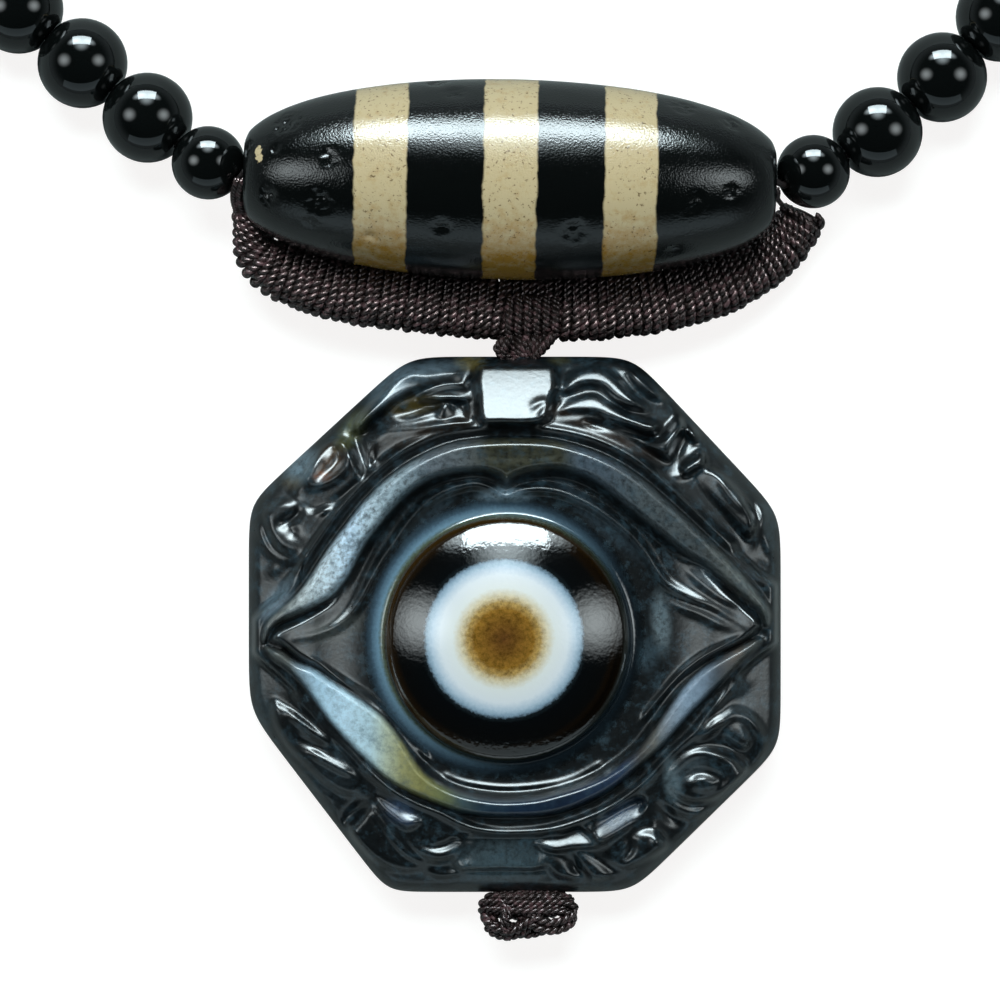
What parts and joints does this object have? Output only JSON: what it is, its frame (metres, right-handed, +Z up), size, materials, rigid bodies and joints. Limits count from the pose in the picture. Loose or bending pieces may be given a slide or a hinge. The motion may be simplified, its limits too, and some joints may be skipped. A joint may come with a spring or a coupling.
{
  "type": "bead necklace",
  "caption": "Black agate bead necklace laid flat, with a banded barrel dzi bead, a thread-wound cradle cord and a carved eye pendant hanging from it.",
  "frame": {"origin": "middle of the footprint, on the table that the necklace lies on", "axes": "+Z up from the table, out of the necklace's face; +Y from the pendant towards the top of the neck loop; +X to the right as seen from above"},
  "size_m": [0.1864, 0.286, 0.0176],
  "materials": {
    "dzi_agate": "polished black agate with ivory bands",
    "bead_agate": "polished black agate",
    "pendant_agate": "polished banded agate",
    "cord": "dark brown twisted nylon thread",
    "thread": "dark nylon thread"
  },
  "bodies": {
    "root": {"dzi_bead": "dzi_agate", "small_bead_left": "bead_agate", "small_bead_right": "bead_agate", "bead_string": "bead_agate", "stringing_thread": "thread", "cradle_cord": "cord", "hanging_cord": "cord", "pendant": "pendant_agate"}
  },
  "joints": []
}
